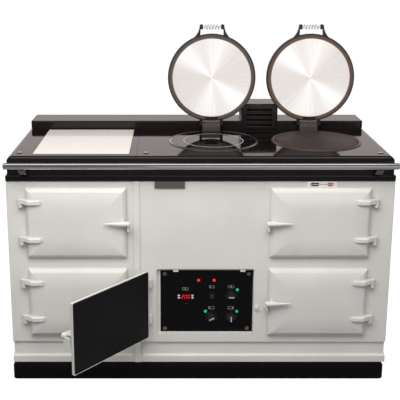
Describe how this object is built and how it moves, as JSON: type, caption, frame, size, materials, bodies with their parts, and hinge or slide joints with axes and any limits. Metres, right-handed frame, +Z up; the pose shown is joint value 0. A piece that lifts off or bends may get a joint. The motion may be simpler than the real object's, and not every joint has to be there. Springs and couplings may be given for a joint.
{
  "type": "range cooker",
  "caption": "Free-standing cast iron range cooker with enamelled oven doors, a control compartment, a warming plate, hotplates under hinged domed lids, a towel rail and a plinth.",
  "frame": {"origin": "floor level, in the plane of the front plates, midway along the lip of the top plate", "axes": "+X to the right as seen from the front, +Y to the back, +Z up"},
  "size_m": [1.4885, 1.0052, 1.3707],
  "materials": {
    "cream_enamel": "gloss vitreous enamel",
    "warm_enamel": "gloss vitreous enamel",
    "black_enamel": "gloss vitreous enamel",
    "plinth_black": "satin paint",
    "side_enamel": "satin paint",
    "cast_iron": "machined and seasoned",
    "oven_iron": "black enamelled casting",
    "chrome": "polished",
    "steel": "brushed",
    "rail_steel": "satin",
    "aluminium": "radially brushed",
    "liner_alu": "satin",
    "hob_glass": "black ceramic glass",
    "door_panel": "satin",
    "panel_black": "gloss",
    "knob_black": "satin",
    "key_white": "matt",
    "lamp_red": "translucent lens",
    "lamp_green": "translucent lens",
    "plate_satin": "satin",
    "gauge_white": "printed enamel"
  },
  "bodies": {
    "cooker": {"plinth": "plinth_black", "base_skirt": "cream_enamel", "front_plate_left": "cream_enamel", "front_plate_main": "cream_enamel", "cover_strip": "cream_enamel", "casing": "side_enamel", "top_plate_left": "black_enamel", "top_plate_main": "black_enamel", "warming_plate": "warm_enamel", "hob_ring_left": "chrome", "hotplate_ring_right": "black_enamel", "hob_glass_left": "hob_glass", "hotplate_right": "cast_iron", "fixing_plugs": "chrome", "back_rail": "black_enamel", "vent_tower": "black_enamel", "vent_louvre": "black_enamel", "handrail": "rail_steel", "rail_brackets": "chrome", "hinge_brackets": "cream_enamel", "hinge_pins": "steel", "door_keepers": "cream_enamel", "oven_top_left": "oven_iron", "oven_bottom_left": "oven_iron", "oven_top_right": "oven_iron", "oven_bottom_right": "oven_iron", "oven_shelves": "steel", "control_tray": "cream_enamel", "control_panel": "panel_black", "temperature_display": "panel_black", "control_screws": "chrome", "lamps_red": "lamp_red", "lamps_green": "lamp_green", "badge_plate": "plate_satin", "heat_indicator": "gauge_white", "lid_hinge_blocks": "black_enamel"},
    "top_left_door": {"door_top_left": "cream_enamel", "liner_top_left": "liner_alu"},
    "bottom_left_door": {"door_bottom_left": "cream_enamel", "liner_bottom_left": "liner_alu"},
    "top_right_door": {"door_top_right": "cream_enamel", "liner_top_right": "liner_alu"},
    "bottom_right_door": {"door_bottom_right": "cream_enamel", "liner_bottom_right": "liner_alu"},
    "control_compartment_door": {"control_door": "cream_enamel", "control_door_panel": "door_panel"},
    "left_lid": {"lid_left": "black_enamel", "lid_liner_left": "aluminium", "lid_grip_left": "chrome"},
    "right_lid": {"lid_right": "black_enamel", "lid_liner_right": "aluminium", "lid_grip_right": "chrome"},
    "knob_upper_right_body": {"knob_upper_right": "knob_black"},
    "knob_lower_middle_body": {"knob_lower_middle": "knob_black"},
    "knob_lower_right_body": {"knob_lower_right": "knob_black"},
    "mode_selector_body": {"mode_selector": "knob_black"},
    "key_1_body": {"key_1": "key_white"},
    "key_2_body": {"key_2": "key_white"},
    "key_3_body": {"key_3": "key_white"},
    "key_4_body": {"key_4": "key_white"}
  },
  "joints": [
    {"name": "top_left_door_hinge", "type": "hinge", "parent": "cooker", "child": "top_left_door", "pos_m": [-0.687, -0.013, 0.654], "axis": [0, 0, -1], "range_deg": [0, 110]},
    {"name": "bottom_left_door_hinge", "type": "hinge", "parent": "cooker", "child": "bottom_left_door", "pos_m": [-0.687, -0.013, 0.328], "axis": [0, 0, -1], "range_deg": [0, 3]},
    {"name": "top_right_door_hinge", "type": "hinge", "parent": "cooker", "child": "top_right_door", "pos_m": [0.672, -0.013, 0.654], "axis": [0, 0, 1], "range_deg": [0, 110]},
    {"name": "bottom_right_door_hinge", "type": "hinge", "parent": "cooker", "child": "bottom_right_door", "pos_m": [0.672, -0.013, 0.328], "axis": [0, 0, 1], "range_deg": [0, 110]},
    {"name": "control_door_hinge", "type": "hinge", "parent": "cooker", "child": "control_compartment_door", "pos_m": [-0.195, -0.013, 0.328], "axis": [0, 0, -1], "range_deg": [-131.3, 0]},
    {"name": "left_lid_hinge", "type": "hinge", "parent": "cooker", "child": "left_lid", "pos_m": [0.061, 0.473, 0.94], "axis": [1, 0, 0], "range_deg": [0, 92]},
    {"name": "right_lid_hinge", "type": "hinge", "parent": "cooker", "child": "right_lid", "pos_m": [0.4828, 0.473, 0.94], "axis": [1, 0, 0], "range_deg": [0, 92]},
    {"name": "upper_right_knob_turn", "type": "hinge", "parent": "cooker", "child": "knob_upper_right_body", "pos_m": [0.1256, 0.008, 0.3424], "axis": [0, -1, 0], "range_deg": [-45, 225]},
    {"name": "lower_middle_knob_turn", "type": "hinge", "parent": "cooker", "child": "knob_lower_middle_body", "pos_m": [0.0484, 0.008, 0.2507], "axis": [0, -1, 0], "range_deg": [-75, 195]},
    {"name": "lower_right_knob_turn", "type": "hinge", "parent": "cooker", "child": "knob_lower_right_body", "pos_m": [0.1256, 0.008, 0.2507], "axis": [0, -1, 0], "range_deg": [-135, 135]},
    {"name": "mode_selector_turn", "type": "hinge", "parent": "cooker", "child": "mode_selector_body", "pos_m": [0.0488, 0.008, 0.3424], "axis": [0, -1, 0], "range_deg": [-45, 45]},
    {"name": "key_1_press", "type": "slide", "parent": "cooker", "child": "key_1_body", "axis": [0, 1, 0], "range_m": [0, 0.0012], "stiffness_N_per_m": 400},
    {"name": "key_2_press", "type": "slide", "parent": "cooker", "child": "key_2_body", "axis": [0, 1, 0], "range_m": [0, 0.0012], "stiffness_N_per_m": 400},
    {"name": "key_3_press", "type": "slide", "parent": "cooker", "child": "key_3_body", "axis": [0, 1, 0], "range_m": [0, 0.0012], "stiffness_N_per_m": 400},
    {"name": "key_4_press", "type": "slide", "parent": "cooker", "child": "key_4_body", "axis": [0, 1, 0], "range_m": [0, 0.0012], "stiffness_N_per_m": 400}
  ]
}
